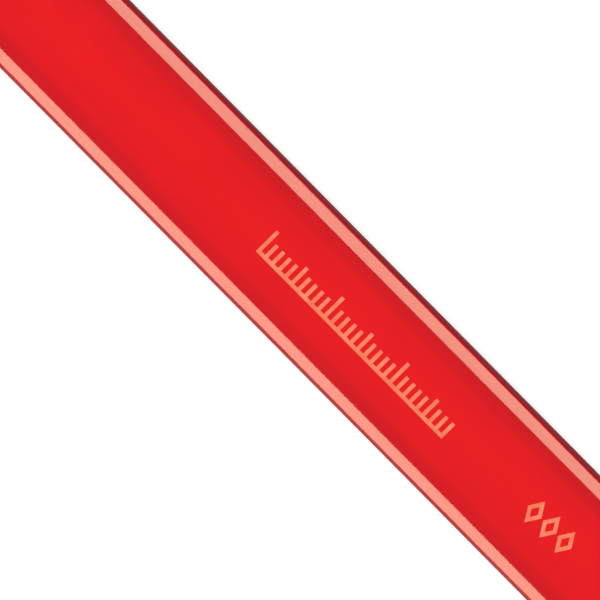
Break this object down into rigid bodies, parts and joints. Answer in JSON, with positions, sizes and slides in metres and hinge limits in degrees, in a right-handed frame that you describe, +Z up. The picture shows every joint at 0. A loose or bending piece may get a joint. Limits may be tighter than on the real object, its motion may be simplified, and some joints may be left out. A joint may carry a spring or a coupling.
{
  "type": "carpenter pencil",
  "caption": "Flat carpenter pencil: glued wooden slats round a flat lead, red lacquer, foil marks on one face, and one end knife-cut to a chisel point.",
  "frame": {"origin": "on the broad face that the pencil lies on, under the middle of its length and width", "axes": "+X along the pencil towards its point, +Y across its width, +Z up through the stamped broad face"},
  "size_m": [0.175, 0.015, 0.0072],
  "materials": {
    "red_lacquer": "gloss",
    "wood": "matte",
    "glue": "satin",
    "graphite": "satin",
    "gold_foil": "satin"
  },
  "bodies": {
    "root": {"lacquer_coat": "red_lacquer", "upper_slat": "wood", "lower_slat": "wood", "glue_film": "glue", "lead": "graphite", "foil_scale": "gold_foil", "foil_lozenge_1": "gold_foil", "foil_lozenge_2": "gold_foil", "foil_lozenge_3": "gold_foil"}
  },
  "joints": []
}
